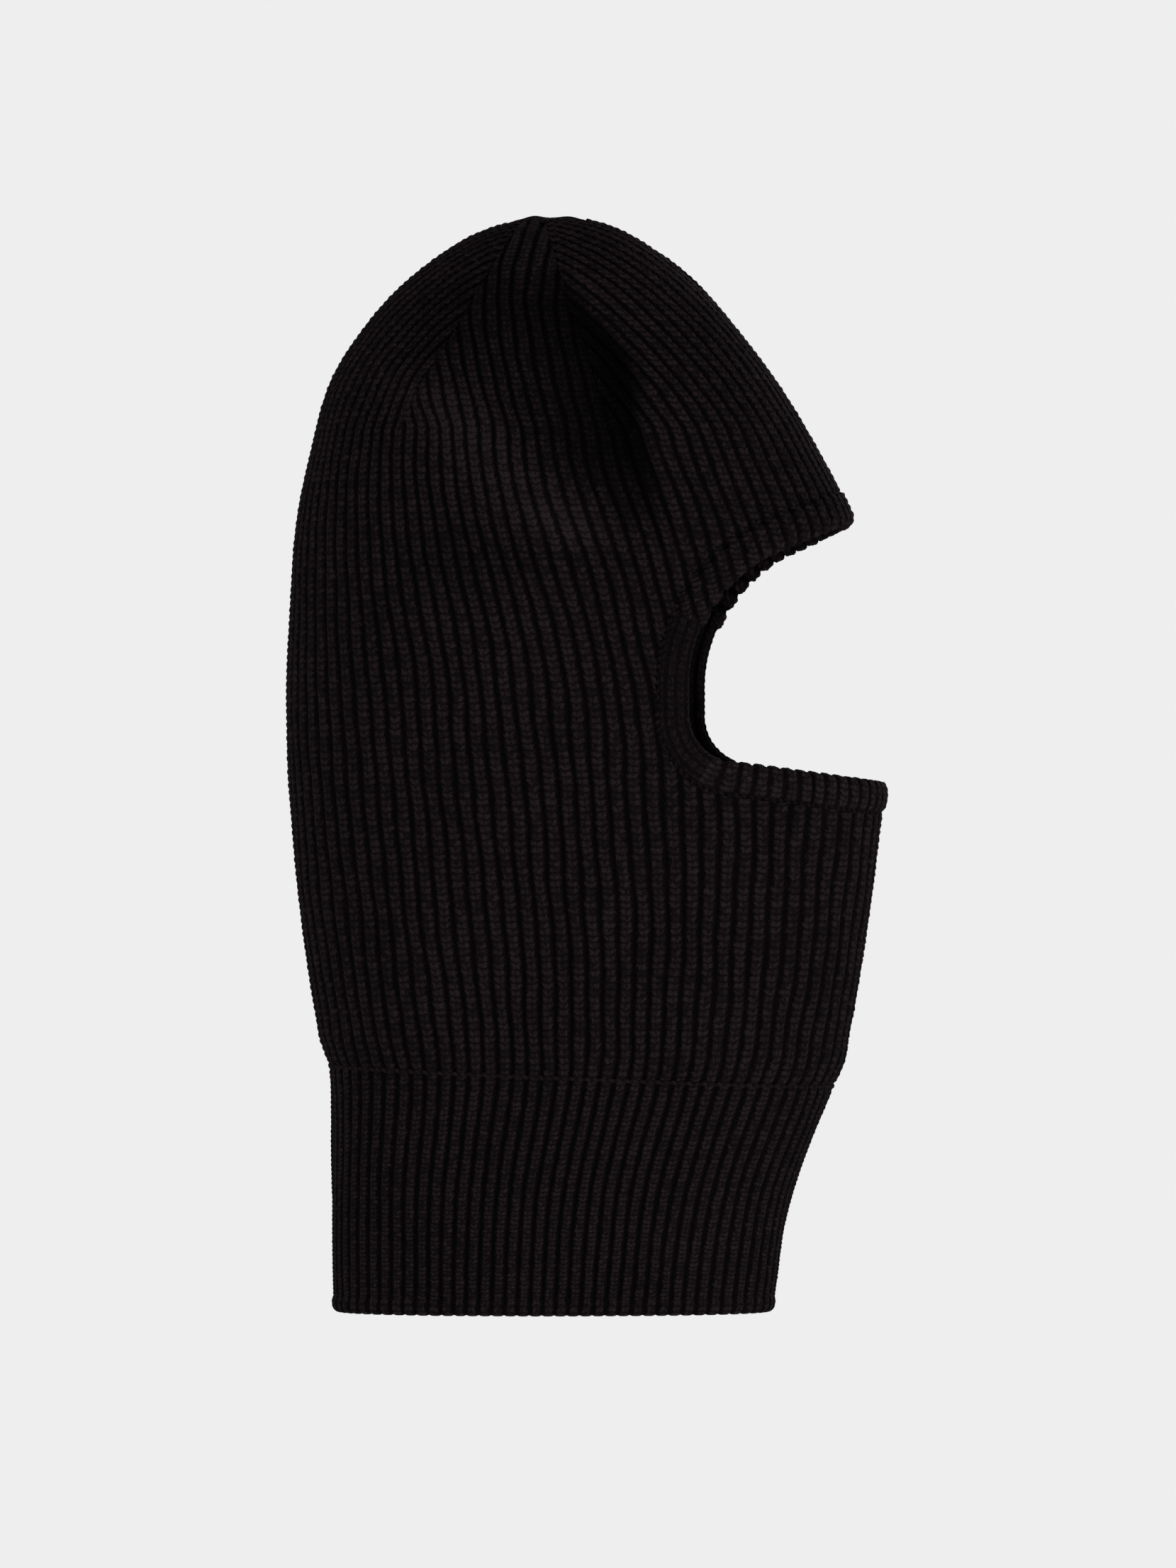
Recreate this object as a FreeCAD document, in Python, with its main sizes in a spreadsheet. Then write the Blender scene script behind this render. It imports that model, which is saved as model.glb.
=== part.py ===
import FreeCAD, Part
import Sketcher
import math
import os

# A rib-knitted balaclava, standing upright on its neck hem as if a head filled it.
# Frame: +Z up, face towards -Y, wearer's left at +X, origin on the floor below the middle of the model.
# The knitted wall is the space between two smooth forms. Cutters split the wall into the panels, bands,
# crown wedges and linked seams that the garment is made of. Lengths are in millimetres.

V = FreeCAD.Vector
doc = FreeCAD.newDocument("balaclava")

# ---------------------------------------------------------------- driving dimensions

LEVELS = {  # name: (height, back of section, front of section, half width)
    "hem": (0.0, 97.0, -70.0, 50.0),
    "band": (46.0, 98.3, -78.0, 53.0),
    "join": (91.0, 98.8, -95.0, 57.0),
    "nape": (122.0, 105.5, -102.8, 60.5),
    "throat": (160.0, 111.0, -108.8, 64.0),
    "chin": (205.0, 114.6, -113.6, 66.5),
    "cheek": (250.0, 115.2, -112.5, 69.0),
    "brow": (295.0, 112.8, -105.0, 70.0),
    "temple": (330.0, 106.2, -88.2, 66.5),
    "upper": (364.0, 94.5, -67.5, 57.0),
    "crown": (395.0, 69.4, -40.6, 40.0),
    "top": (413.8, 41.9, -13.1, 20.0),
    "apex": (420.0, 14.4, 14.4, 0.0),
}
SIZES = {
    "squareness": 2.3,             # exponent of a section: 2 is an ellipse, more is squarer
    "egg": 0.07,                   # how much wider the back of a section is than its front
    "fabric": 3.2,                 # thickness of the rib knit
    "proud": 1.2,                  # how far bands and seams stand out of the fabric, on each side
    "hem_band": 7.0,               # height of the bound-off hem
    "seam_height": 94.5,           # height of the neck join at the centre back
    "seam_tilt": 2.3,              # fall of the neck join towards the front, degrees
    "seam_row": 3.0,               # height of the row of linked loops at the neck join
    "crown_base": 338.0,           # where the crown wedges leave the body panel
    "back_dart_foot": 68.0,        # Y of the back darts at the crown base
    "back_dart_lean": 28.0,        # lean of the back darts towards the front, degrees
    "front_dart_foot": -11.8,      # Y of the front darts at the crown base
    "front_dart_lean": -19.0,      # lean of the front darts, which go up towards the back, degrees
    "dart_row": 2.6,               # width of a linked dart row
    "closure_height": 418.2,       # where the crown wedges end at the gathered loops
    "closure_gap": 0.3,            # play around the gathered loops
    "opening_back": -42.4,         # Y of the free edge at the back of the face opening
    "opening_top": 277.6,          # height where the brow edge would meet the back edge
    "opening_foot": 213.3,         # height where the chin edge would meet the back edge
    "brow_slope": 23.6,            # rise of the brow edge towards the front, degrees
    "chin_slope": 7.7,             # fall of the chin edge towards the front, degrees
    "brow_bend": 58.0,             # radius of the free edge below the brow
    "chin_bend": 18.0,             # radius of the free edge above the chin
    "face_band": 11.5,             # width of the tubular face trim and of the turned brow hem
    "face_row": 2.2,               # width of the linked row around the face trim
    "band_end": 268.0,             # height where the face trim turns in under the brow hem
    "band_end_lean": 40.4,         # slope of the line where it turns in, degrees
    "brow_reach": 40.0,            # how far the brow hem's cutter reaches towards the chin
    "back_seam": 5.0,              # width of the seam allowance inside the centre back
    "reach": 500.0,                # size of the blocks that cut the wall
}
SMOOTH_ROWS = 6                    # rows of surface points between two levels
AROUND = 48                        # surface points around a section
TIP_SHARE = 0.12                   # share of the last level step left flat at the apex
FIRST_TURN = math.radians(105)     # where each section starts and ends, a little off the centre back
BACK_TURN = math.radians(90)       # the centre back; the left side is at 0 and the centre front opposite
WEDGE_ROWS = 14                    # surface points up a crown wedge
WEDGE_COLUMNS = 12                 # surface points across a crown wedge

sheet = doc.addObject("Spreadsheet::Sheet", "sizes")
LEVEL_FIELDS = ("height", "back", "front", "width")


def fill_sheet():
    row = 1
    entries = dict(SIZES)
    for name, values in LEVELS.items():
        for field, value in zip(LEVEL_FIELDS, values):
            entries[name + "_" + field] = value
    for alias, value in entries.items():
        sheet.set("A%d" % row, alias)
        sheet.set("B%d" % row, str(value))
        sheet.setAlias("B%d" % row, alias)
        row += 1
    doc.recompute()


def size(alias):
    return float(getattr(sheet, alias))


fill_sheet()

# ---------------------------------------------------------------- the form inside and outside the wall


def level_rows(offset):
    """Each level's height, back, front and half width, moved outwards square to the wall by the offset.

    One level is added beyond each end for the slopes: past the apex the form comes down again.
    """
    levels = [[size(name + "_" + field) for field in LEVEL_FIELDS] for name in LEVELS]

    def with_ends(rows):
        height, back, front, width = rows[-2]
        return [[2 * a - b for a, b in zip(rows[0], rows[1])]] + rows + [[height, front, back, -width]]

    around = with_ends(levels)
    moved = []
    for below, (height, back, front, width), above in zip(around, levels, around[2:]):
        radius_step = (above[1] - above[2] - below[1] + below[2]) / 4 + (above[3] - below[3]) / 2
        lean = math.atan2(-radius_step, above[0] - below[0]) if height > 0 else 0
        out = offset * math.cos(lean)
        moved.append([height + offset * math.sin(lean), back + out, front - out, width + out])
    return with_ends(moved)


def between_levels(rows, place):
    """Catmull-Rom value of a section at a place from 0, the hem, to the number of steps, the apex."""
    step = min(int(place), len(rows) - 4)
    t = place - step
    return [
        0.5 * (2 * b + (c - a) * t + (2 * a - 5 * b + 4 * c - d) * t ** 2 + (3 * b - a - 3 * c + d) * t ** 3)
        for a, b, c, d in zip(*rows[step:step + 4])
    ]


def form_point(rows, place, turn):
    """A point of a form. turn is 0 at the wearer's left side and a quarter turn at the centre back."""
    height, back, front, width = between_levels(rows, place)
    power = size("squareness")
    c, s = math.cos(turn), math.sin(turn)
    r = (abs(c) ** power + abs(s) ** power) ** (-1.0 / power)
    egg = 1 + size("egg") * s
    return V(width * r * c * egg, (back + front) / 2 + (back - front) / 2 * r * s, height)


def solve(low, high, is_past):
    """Halves the range between low and high until it closes on the value where is_past turns true."""
    for _ in range(40):
        middle = (low + high) / 2
        low, high = (low, middle) if is_past(middle) else (middle, high)
    return middle


def curve_through(points, closed=False):
    curve = Part.BSplineCurve()
    curve.interpolate(Points=points, PeriodicFlag=closed)
    return curve.toShape()


def make_solid(name, faces):
    shell = Part.makeShell(faces)
    shell.sewShape()
    solid = Part.makeSolid(shell)
    if solid.Volume < 0:
        solid.reverse()
    item = doc.addObject("Part::Feature", name)
    item.Shape = solid
    return item


def make_form(name, offset):
    """A closed solid whose side stands the offset outside the outer form, flat at the hem and the apex."""
    rows = level_rows(offset)
    steps = len(LEVELS) - 1
    count = steps * SMOOTH_ROWS
    surface = Part.BSplineSurface()
    surface.interpolate([
        [
            form_point(rows, (steps - TIP_SHARE) * i / count, FIRST_TURN + 2 * math.pi * (k % AROUND) / AROUND)
            for k in range(AROUND + 1)
        ]
        for i in range(count + 1)
    ])
    side = surface.toShape()
    rims = [edge for edge in side.Edges if edge.BoundBox.ZLength < 0.01]
    return make_solid(name, [side] + [Part.Face(Part.Wire([edge])) for edge in rims])


# ---------------------------------------------------------------- cutters


def block(name, **sides):
    """A box with its sides given as expressions. A side that isn't given lies far past the garment."""
    item = doc.addObject("Part::Box", name)
    for axis, length, low, high in (
        ("x", "Length", "left", "right"),
        ("y", "Width", "front", "rear"),
        ("z", "Height", "floor", "roof"),
    ):
        start = sides.get(low, "-sizes.reach")
        end = sides.get(high, "sizes.reach")
        item.setExpression("Placement.Base." + axis, start)
        item.setExpression(length, "(%s) - (%s)" % (end, start))
    return item


def leaning_block(name, pivot, lean, front, rear, floor, roof):
    """A box turned about a line along X. pivot is the line's Y and Z, and the sides are measured from it."""
    item = doc.addObject("Part::Box", name)
    item.Placement = FreeCAD.Placement(V(), FreeCAD.Rotation(V(1, 0, 0), 1.0))
    turned = {
        "y": "%s + (%s) * cos(%s) - (%s) * sin(%s)" % (pivot[0], front, lean, floor, lean),
        "z": "%s + (%s) * sin(%s) + (%s) * cos(%s)" % (pivot[1], front, lean, floor, lean),
    }
    item.setExpression("Placement.Rotation.Angle", lean)
    item.setExpression("Placement.Base.x", "-sizes.reach")
    item.setExpression("Placement.Base.y", turned["y"])
    item.setExpression("Placement.Base.z", turned["z"])
    item.setExpression("Length", "sizes.reach * 2")
    item.setExpression("Width", "(%s) - (%s)" % (rear, front))
    item.setExpression("Height", "(%s) - (%s)" % (roof, floor))
    return item


def combine(kind, name, first, second):
    """Cut takes the second shape from the first. Common keeps what both hold."""
    item = doc.addObject("Part::" + kind, name)
    item.Base = first
    item.Tool = second
    return item


def outline_sketch(body, name, grow):
    """The face opening seen from the side, its free edge grown outwards by an expression."""
    sketch = body.newObject("Sketcher::SketchObject", name + "_outline")
    planes = {feature.Role: feature for feature in body.Origin.OriginFeatures}
    sketch.AttachmentSupport = [(planes["YZ_Plane"], "")]
    sketch.MapMode = "FlatFace"
    front, back = -size("reach"), size("opening_back")
    foot, top = size("opening_foot"), size("opening_top")
    corners = [V(front, 0, 0), V(back, foot, 0), V(back, top, 0), V(front, 2 * top, 0)]
    for i in range(4):
        sketch.addGeometry(Part.LineSegment(corners[i], corners[(i + 1) % 4]), False)
    for i in range(4):
        sketch.addConstraint(Sketcher.Constraint("Coincident", i, 2, (i + 1) % 4, 1))
    sketch.addConstraint(Sketcher.Constraint("Vertical", 1))
    sketch.addConstraint(Sketcher.Constraint("Vertical", 3))
    run = "(sizes.reach + sizes.opening_back + (%s))" % grow
    chin = "(%s) / cos(sizes.chin_slope) - (%s) * tan(sizes.chin_slope)" % (grow, grow)
    brow = "(%s) / cos(sizes.brow_slope) - (%s) * tan(sizes.brow_slope)" % (grow, grow)
    for label, constraint, expression in (
        ("back_place", ("DistanceX", 1, 1, -1, 1, -back), "-sizes.opening_back - (%s)" % grow),
        ("front_place", ("DistanceX", 0, 1, -1, 1, -front), "sizes.reach"),
        ("foot_height", ("DistanceY", -1, 1, 1, 1, foot), "sizes.opening_foot - (%s)" % chin),
        ("top_height", ("DistanceY", -1, 1, 1, 2, top), "sizes.opening_top + (%s)" % brow),
        ("chin_fall", ("DistanceY", 0, 1, 1, 1, foot), run + " * tan(sizes.chin_slope)"),
        ("brow_rise", ("DistanceY", 1, 2, 2, 2, top), run + " * tan(sizes.brow_slope)"),
    ):
        index = sketch.addConstraint(Sketcher.Constraint(*constraint))
        sketch.renameConstraint(index, label)
        sketch.setExpression("Constraints." + label, expression)
    doc.recompute()
    return sketch


def outline_prism(name, grow):
    """A prism along X through both cheeks, with the two corners at the back of the opening rounded."""
    body = doc.addObject("PartDesign::Body", name)
    sketch = outline_sketch(body, name, grow)
    pad = body.newObject("PartDesign::Pad", name + "_pad")
    pad.Profile = sketch
    pad.Midplane = True
    pad.setExpression("Length", "sizes.reach")
    doc.recompute()
    back_place = -sketch.getDatum("back_place").Value
    tip = pad
    for corner, datum, radius in (
        ("chin", "foot_height", "sizes.chin_bend"),
        ("brow", "top_height", "sizes.brow_bend"),
    ):
        place = V(0, back_place, sketch.getDatum(datum).Value)
        edges = [
            "Edge%d" % (i + 1)
            for i, edge in enumerate(tip.Shape.Edges)
            if edge.CenterOfMass.distanceToPoint(place) < 0.1
        ]
        fillet = body.newObject("PartDesign::Fillet", "%s_%s_bend" % (name, corner))
        fillet.Base = (tip, edges)
        fillet.setExpression("Radius", "%s + (%s)" % (radius, grow))
        doc.recompute()
        tip = fillet
    return body


# ---------------------------------------------------------------- the wall and its cutters

outer_form = make_form("outer_form", 0.0)
inner_form = make_form("inner_form", -size("fabric"))
trim_outer_form = make_form("trim_outer_form", size("proud"))
trim_inner_form = make_form("trim_inner_form", -size("fabric") - size("proud"))
FABRIC = (outer_form, inner_form)
TRIM = (trim_outer_form, trim_inner_form)
LINING = (inner_form, trim_inner_form)

join_line = ("0", "sizes.seam_height - sizes.hem_back * tan(sizes.seam_tilt)")
half_join = "sizes.seam_row / 2"
below_join = leaning_block(
    "below_join", join_line, "sizes.seam_tilt", "-sizes.reach", "sizes.reach", "-sizes.reach", "-" + half_join)
join_slab = leaning_block(
    "join_slab", join_line, "sizes.seam_tilt", "-sizes.reach", "sizes.reach", "-" + half_join, half_join)
above_join = leaning_block(
    "above_join", join_line, "sizes.seam_tilt", "-sizes.reach", "sizes.reach", half_join, "sizes.reach * 2")
hem_slab = block("hem_slab", roof="sizes.hem_band")
above_hem = block("above_hem", floor="sizes.hem_band")
below_crown = block("below_crown", roof="sizes.crown_base")

opening_free = outline_prism("opening_free", "0")
opening_trim = outline_prism("opening_trim", "sizes.face_band")
opening_panel = outline_prism("opening_panel", "sizes.face_band + sizes.face_row")

NODES = []


def carve(label, layer, within, without=()):
    """A sub-part: the layer's outer form kept within some cutters, less its inner form and other cutters."""
    outer, inner = layer
    item = outer
    steps = [("Common", cutter) for cutter in within] + [("Cut", cutter) for cutter in (inner,) + tuple(without)]
    for number, (kind, cutter) in enumerate(steps):
        item = combine(kind, "%s_step_%d" % (label, number), item, cutter)
    item.Label = label
    NODES.append(item)
    return item


# ---------------------------------------------------------------- neck band


def make_neck_band():
    carve("neck_band_hem", TRIM, [hem_slab])
    carve("neck_rib_band", FABRIC, [above_hem, below_join])
    carve("neck_join_seam", TRIM, [join_slab])


# ---------------------------------------------------------------- body panel and face trim


def make_body_panel():
    carve("body_rib_panel", FABRIC, [above_join, below_crown], [opening_panel])


def make_face_trim():
    turn_in = ("sizes.opening_back", "sizes.band_end")
    brow_block = leaning_block(
        "brow_block", turn_in, "sizes.band_end_lean", "-sizes.brow_reach", "sizes.reach", "0", "sizes.reach")
    carve("face_opening_seam", TRIM, [opening_panel], [opening_trim])
    carve("face_band", TRIM, [opening_trim], [opening_free, brow_block])
    carve("brow_hem", TRIM, [opening_trim, brow_block], [opening_free])


# ---------------------------------------------------------------- crown


def dart_turn(rows, height, end, shift):
    """Where a section meets a left dart's line moved back by shift, as a turn."""
    lean = math.radians(size(end + "_dart_lean"))
    line = size(end + "_dart_foot") - math.tan(lean) * (height - size("crown_base")) + shift / math.cos(lean)
    steps = len(LEVELS) - 1
    place = solve(0, steps, lambda p: between_levels(rows, p)[0] > height)
    return place, solve(-BACK_TURN, BACK_TURN, lambda turn: form_point(rows, place, turn).y > line)


def wedge_grid(offset, first, last):
    """Points of one side of a wedge, from the crown base to the gathered top, between two edges.

    An edge is (dart end, shift, mirrored). A mirrored edge is on the wearer's right.
    """
    rows = level_rows(offset)
    base, top = size("crown_base"), size("closure_height")
    grid = []
    for i in range(WEDGE_ROWS + 1):
        share = math.sin(math.pi / 2 * i / WEDGE_ROWS)
        height = base + (top + offset - base) * share
        turns = []
        for end, shift, mirrored in (first, last):
            place, turn = dart_turn(rows, height, end, shift)
            turns.append(math.pi - turn if mirrored else turn)
        start, stop = turns
        if stop < start:
            stop += 2 * math.pi
        steps = range(WEDGE_COLUMNS + 1)
        grid.append([form_point(rows, place, start + (stop - start) * k / WEDGE_COLUMNS) for k in steps])
    return grid


def surface_borders(surface):
    """The four border edges of a surface, in the same order for every surface."""
    u_low, u_high, v_low, v_high = surface.bounds()
    curves = [surface.uIso(u_low), surface.uIso(u_high), surface.vIso(v_low), surface.vIso(v_high)]
    return [curve.toShape() for curve in curves]


def make_wedge(label, layer, first, last):
    """A solid between two darts: an outer and an inner surface, joined along their four borders."""
    surfaces = []
    for offset in layer:
        surface = Part.BSplineSurface()
        surface.interpolate(wedge_grid(offset, first, last))
        surfaces.append(surface)
    sides = [Part.makeRuledSurface(*pair) for pair in zip(*map(surface_borders, surfaces))]
    NODES.append(make_solid(label, [surface.toShape() for surface in surfaces] + sides))


def make_closure():
    """The gathered loops: a disc cut from the top of the trim by a prism that clears the wedges."""
    rows = level_rows(0.0)
    place = solve(0, len(LEVELS) - 1, lambda p: between_levels(rows, p)[0] > size("closure_height"))
    height, back, front, width = between_levels(rows, place)
    rim = [form_point(rows, place, 2 * math.pi * k / AROUND) for k in range(AROUND)]
    centre = V(0, (back + front) / 2, height)
    clear = 1 - size("closure_gap") / width
    wire = Part.Wire(curve_through([centre + (point - centre) * clear for point in rim], closed=True))
    gather = doc.addObject("Part::Feature", "gather")
    gather.Shape = Part.Face(wire).extrude(V(0, 0, size("reach")))
    gather.Placement.Base.z = -size("reach") / 2
    carve("crown_closure", TRIM, [gather])


def make_crown():
    """Four wedges of the rib knit, joined along four darts and gathered at the top."""
    half_row = size("dart_row") / 2
    edges = {
        (side, end, part): (end, shift, side == "right")
        for side in ("left", "right")
        for end in ("back", "front")
        for part, shift in (("fore", -half_row), ("rear", half_row))
    }
    fabric = (0.0, -size("fabric"))
    trim = (size("proud"), -size("fabric") - size("proud"))
    make_wedge("crown_back_gore", fabric, edges["left", "back", "rear"], edges["right", "back", "rear"])
    make_wedge("crown_front_gore", fabric, edges["right", "front", "fore"], edges["left", "front", "fore"])
    make_wedge("crown_left_gore", fabric, edges["left", "front", "rear"], edges["left", "back", "fore"])
    make_wedge("crown_right_gore", fabric, edges["right", "back", "fore"], edges["right", "front", "rear"])
    for end in ("back", "front"):
        fore, rear = edges["left", end, "fore"], edges["left", end, "rear"]
        make_wedge(end + "_left_dart_seam", trim, fore, rear)
        fore, rear = edges["right", end, "fore"], edges["right", end, "rear"]
        make_wedge(end + "_right_dart_seam", trim, rear, fore)
    make_closure()


# ---------------------------------------------------------------- seams inside the centre back


def make_back_seams():
    """Narrow seam allowances on the inside, where each knitted piece is closed into a tube."""
    strip = block("back_strip", left="-sizes.back_seam / 2", right="sizes.back_seam / 2", front="0")
    carve("centre_back_seam", LINING, [strip, above_join, below_crown])
    carve("neck_band_back_seam", LINING, [strip, above_hem, below_join])


# ---------------------------------------------------------------- checks and files


def check_document():
    doc.recompute()
    for item in doc.Objects:
        if "Invalid" in item.State or "Error" in item.State:
            raise RuntimeError("%s failed: %s" % (item.Name, item.State))
    for item in NODES:
        if item.Shape.isNull() or not item.Shape.isValid() or item.Shape.Volume <= 0:
            raise RuntimeError("%s has no valid solid" % item.Label)


def write_files():
    os.makedirs("parts", exist_ok=True)
    for item in NODES:
        item.Shape.exportStep("parts/%s.step" % item.Label)
        box = item.Shape.optimalBoundingBox()
        print("%-22s solids %d volume %9.1f  x %7.1f %7.1f  y %7.1f %7.1f  z %7.1f %7.1f" % (
            item.Label, len(item.Shape.Solids), item.Shape.Volume,
            box.XMin, box.XMax, box.YMin, box.YMax, box.ZMin, box.ZMax))


make_neck_band()
make_body_panel()
make_face_trim()
make_crown()
make_back_seams()
check_document()
write_files()
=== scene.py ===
import math

import bpy
import numpy as np
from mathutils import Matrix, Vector


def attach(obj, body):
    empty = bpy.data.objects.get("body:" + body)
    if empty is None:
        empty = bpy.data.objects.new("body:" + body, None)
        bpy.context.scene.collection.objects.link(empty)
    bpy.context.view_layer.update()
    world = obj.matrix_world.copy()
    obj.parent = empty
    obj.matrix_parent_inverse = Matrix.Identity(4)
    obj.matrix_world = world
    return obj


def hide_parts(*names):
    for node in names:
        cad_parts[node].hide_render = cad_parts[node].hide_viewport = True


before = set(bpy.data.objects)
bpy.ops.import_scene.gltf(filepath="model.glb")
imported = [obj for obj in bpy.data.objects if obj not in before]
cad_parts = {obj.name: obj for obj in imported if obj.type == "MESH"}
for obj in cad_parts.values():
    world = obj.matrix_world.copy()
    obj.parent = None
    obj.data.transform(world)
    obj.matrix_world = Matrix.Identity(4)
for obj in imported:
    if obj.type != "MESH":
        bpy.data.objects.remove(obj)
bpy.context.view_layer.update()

# Rib-knitted balaclava. Lengths in this file are millimetres until a mesh is written, in metres.
# +Z up, face towards -Y, wearer's left at +X.

TURN = 2.0 * math.pi

# ---------------------------------------------------------------- camera

LENS = 300.0
FRAME_HEIGHT = 0.6022
SENSOR = 36.0
YAW = math.radians(3.2)
AIM = Vector((0.0, 0.0, 0.2027))
camera_data = bpy.data.cameras.new("camera")
camera_data.lens = LENS
camera_data.sensor_width = SENSOR
camera = bpy.data.objects.new("camera", camera_data)
bpy.context.scene.collection.objects.link(camera)
camera.location = AIM + LENS * FRAME_HEIGHT / SENSOR * Vector((-math.cos(YAW), -math.sin(YAW), 0.0))
camera.rotation_euler = (AIM - camera.location).to_track_quat("-Z", "Y").to_euler()
camera_data.clip_end = 60.0
bpy.context.scene.camera = camera
bpy.context.scene.view_settings.view_transform = "Standard"

# ---------------------------------------------------------------- the form, as in the CAD part

LEVELS = np.array((  # height, back, front, half width
    (0.0, 97.0, -70.0, 50.0),
    (46.0, 98.3, -78.0, 53.0),
    (91.0, 98.8, -95.0, 57.0),
    (122.0, 105.5, -102.8, 60.5),
    (160.0, 111.0, -108.8, 64.0),
    (205.0, 114.6, -113.6, 66.5),
    (250.0, 115.2, -112.5, 69.0),
    (295.0, 112.8, -105.0, 70.0),
    (330.0, 106.2, -88.2, 66.5),
    (364.0, 94.5, -67.5, 57.0),
    (395.0, 69.4, -40.6, 40.0),
    (413.8, 41.9, -13.1, 20.0),
    (420.0, 14.4, 14.4, 0.0),
))
SQUARENESS = 2.3
EGG = 0.07
FABRIC = 3.2
CROWN_BASE = 338.0
CLOSE = 418.2
OPEN_BACK = -42.4
OPEN_TOP, BROW_SLOPE, BROW_BEND = 277.6, math.radians(23.6), 58.0
OPEN_FOOT, CHIN_SLOPE, CHIN_BEND = 213.3, math.radians(7.7), 18.0
JOIN_Z, JOIN_Y, JOIN_TILT = 94.5, 97.0, math.tan(math.radians(2.3))
DARTS = {"back": (68.0, -28.0), "front": (-11.8, 19.0)}       # y at the crown's base, and degrees off upright


def smooth(t):
    t = np.clip(t, 0.0, 1.0)
    return t * t * (3.0 - 2.0 * t)


def dense_profile(steps=60):
    below = 2.0 * LEVELS[0] - LEVELS[1]
    n = LEVELS[-2]
    beyond = np.array((n[0], n[2], n[1], -n[3]))
    p = np.vstack((below, LEVELS, beyond))
    out = []
    for i in range(1, len(p) - 2):
        for t in np.arange(steps) / steps:
            a, b, c, d = p[i - 1], p[i], p[i + 1], p[i + 2]
            out.append(0.5 * (2 * b + (c - a) * t + (2 * a - 5 * b + 4 * c - d) * t * t
                              + (-a + 3 * b - 3 * c + d) * t ** 3))
    out.append(p[-2])
    return np.array(out)


PROFILE = dense_profile()
STEP = np.diff(PROFILE, axis=0)
RUN = sum(np.hypot(STEP[:, 0], STEP[:, k]) for k in (1, 2, 3)) / 3.0
PROFILE_Q = np.concatenate(((0.0,), np.cumsum(RUN)))     # length walked up the form


def q_of(z):
    return np.interp(z, PROFILE[:, 0], PROFILE_Q)


def level(q):
    """Height, back, front and half width at a length q up the form."""
    return [np.interp(q, PROFILE_Q, PROFILE[:, k]) for k in range(4)]


def base_point(q, turn):
    z, back, front, width = level(q)
    c, s = np.cos(turn), np.sin(turn)
    r = (np.abs(c) ** SQUARENESS + np.abs(s) ** SQUARENESS) ** (-1.0 / SQUARENESS)
    x = width * r * c * (1.0 + EGG * s)
    y = (back + front) / 2.0 + (back - front) / 2.0 * r * s
    return np.stack((x, y, z + 0.0 * x), axis=-1)


def unit(v):
    return v / np.maximum(np.linalg.norm(v, axis=-1, keepdims=True), 1e-9)


def run_along(points):
    """Length walked to each point of a line."""
    return np.concatenate(((0.0,), np.cumsum(np.linalg.norm(np.diff(points, axis=0), axis=1))))


def join_height(y):
    """Height of the join between neck band and body."""
    return JOIN_Z + (y - JOIN_Y) * JOIN_TILT


def dart_y(z, which):
    foot, tilt = DARTS[which]
    return foot + math.tan(math.radians(tilt)) * (z - CROWN_BASE)


def normal_of(place, q, turn):
    dq, dt = 0.6, math.radians(0.7)
    q = np.clip(q, 1.0, PROFILE_Q[-1] - 1.2)
    up = place(q + dq, turn) - place(q - dq, turn)
    around = place(q, turn + dt) - place(q, turn - dt)
    return unit(np.cross(around, up))


# Soft shapes that a head leaves in the knit. side is -1 at the wearer's right, +1 at the wearer's left.
EDGE_Z = (288.0, 301.0, 316.0, 338.0, 347.0, 363.0, 377.0, 394.0, 407.0)
EDGE_Y = (-31.0, -29.0, -26.0, -20.0, -19.0, -17.5, -5.0, 9.5, 15.0)
EDGE_DEPTH = (0.0, 3.0, 8.0, 14.5, 17.0, 18.0, 14.5, 7.0, 0.0)
LEFT_DEPTH = 0.5         # the wearer's left, which the photo doesn't show, folds half as deep


def eased(values):
    """A table line with its corners rounded off."""
    line = np.interp(SOFT_Z, EDGE_Z, values)
    for _ in range(40):
        line[1:-1] = (line[:-2] + 2.0 * line[1:-1] + line[2:]) / 4.0
    return line


SOFT_Z = np.linspace(280.0, 416.0, 137)
SOFT_Y, SOFT_DEPTH = eased(EDGE_Y), eased(EDGE_DEPTH)


def fold_depth(z, side):
    return np.interp(z, SOFT_Z, SOFT_DEPTH) * (1.0 if side < 0 else LEFT_DEPTH)


def sink(p, side):
    """The fold behind the brow: how far the knit sinks straight in towards the middle."""
    y, z = p[..., 1], p[..., 2]
    depth = fold_depth(z, side)
    gap = np.interp(z, SOFT_Z, SOFT_Y) - y                # positive in front of the fold
    behind = np.cos(np.clip(-gap / 40.0, 0.0, 1.0) * math.pi / 2.0) ** 1.6
    ahead = 1.0 - smooth((gap + 1.0) / 9.0)
    return depth * np.where(gap < -1.0, behind, np.minimum(behind, ahead)) * smooth((412.0 - z) / 16.0)


def swell(p, side):
    """How far the knit stands out of the plain form, before its ribs."""
    y, z = p[..., 1], p[..., 2]
    flank = smooth(np.abs(p[..., 0]) / 16.0)
    out = 0.0 * z
    # a soft ridge from the back of the crown down to the temple
    along = np.clip((z - 292.0) / 64.0, -0.3, 1.3)
    off_ridge = (y - (-4.0 + 61.0 * along)) / 16.0
    out += 4.5 * np.exp(-(off_ridge ** 2)) * smooth((z - 285.0) / 25.0) * smooth((372.0 - z) / 30.0) * flank
    # the body puffs out over the neck join
    rise = z - join_height(y)
    out += 1.1 * np.exp(-(((rise - 11.0) / 7.0) ** 2))
    # slack
    out += 0.55 * np.sin(y / 21.0 + z / 47.0 + 0.6 * side) * np.sin(z / 33.0 - y / 58.0 + 1.1)
    out += 0.30 * np.sin(y / 8.5 - z / 29.0 + 2.0 * side) * np.sin(z / 16.0 + 0.7)
    return out


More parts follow.
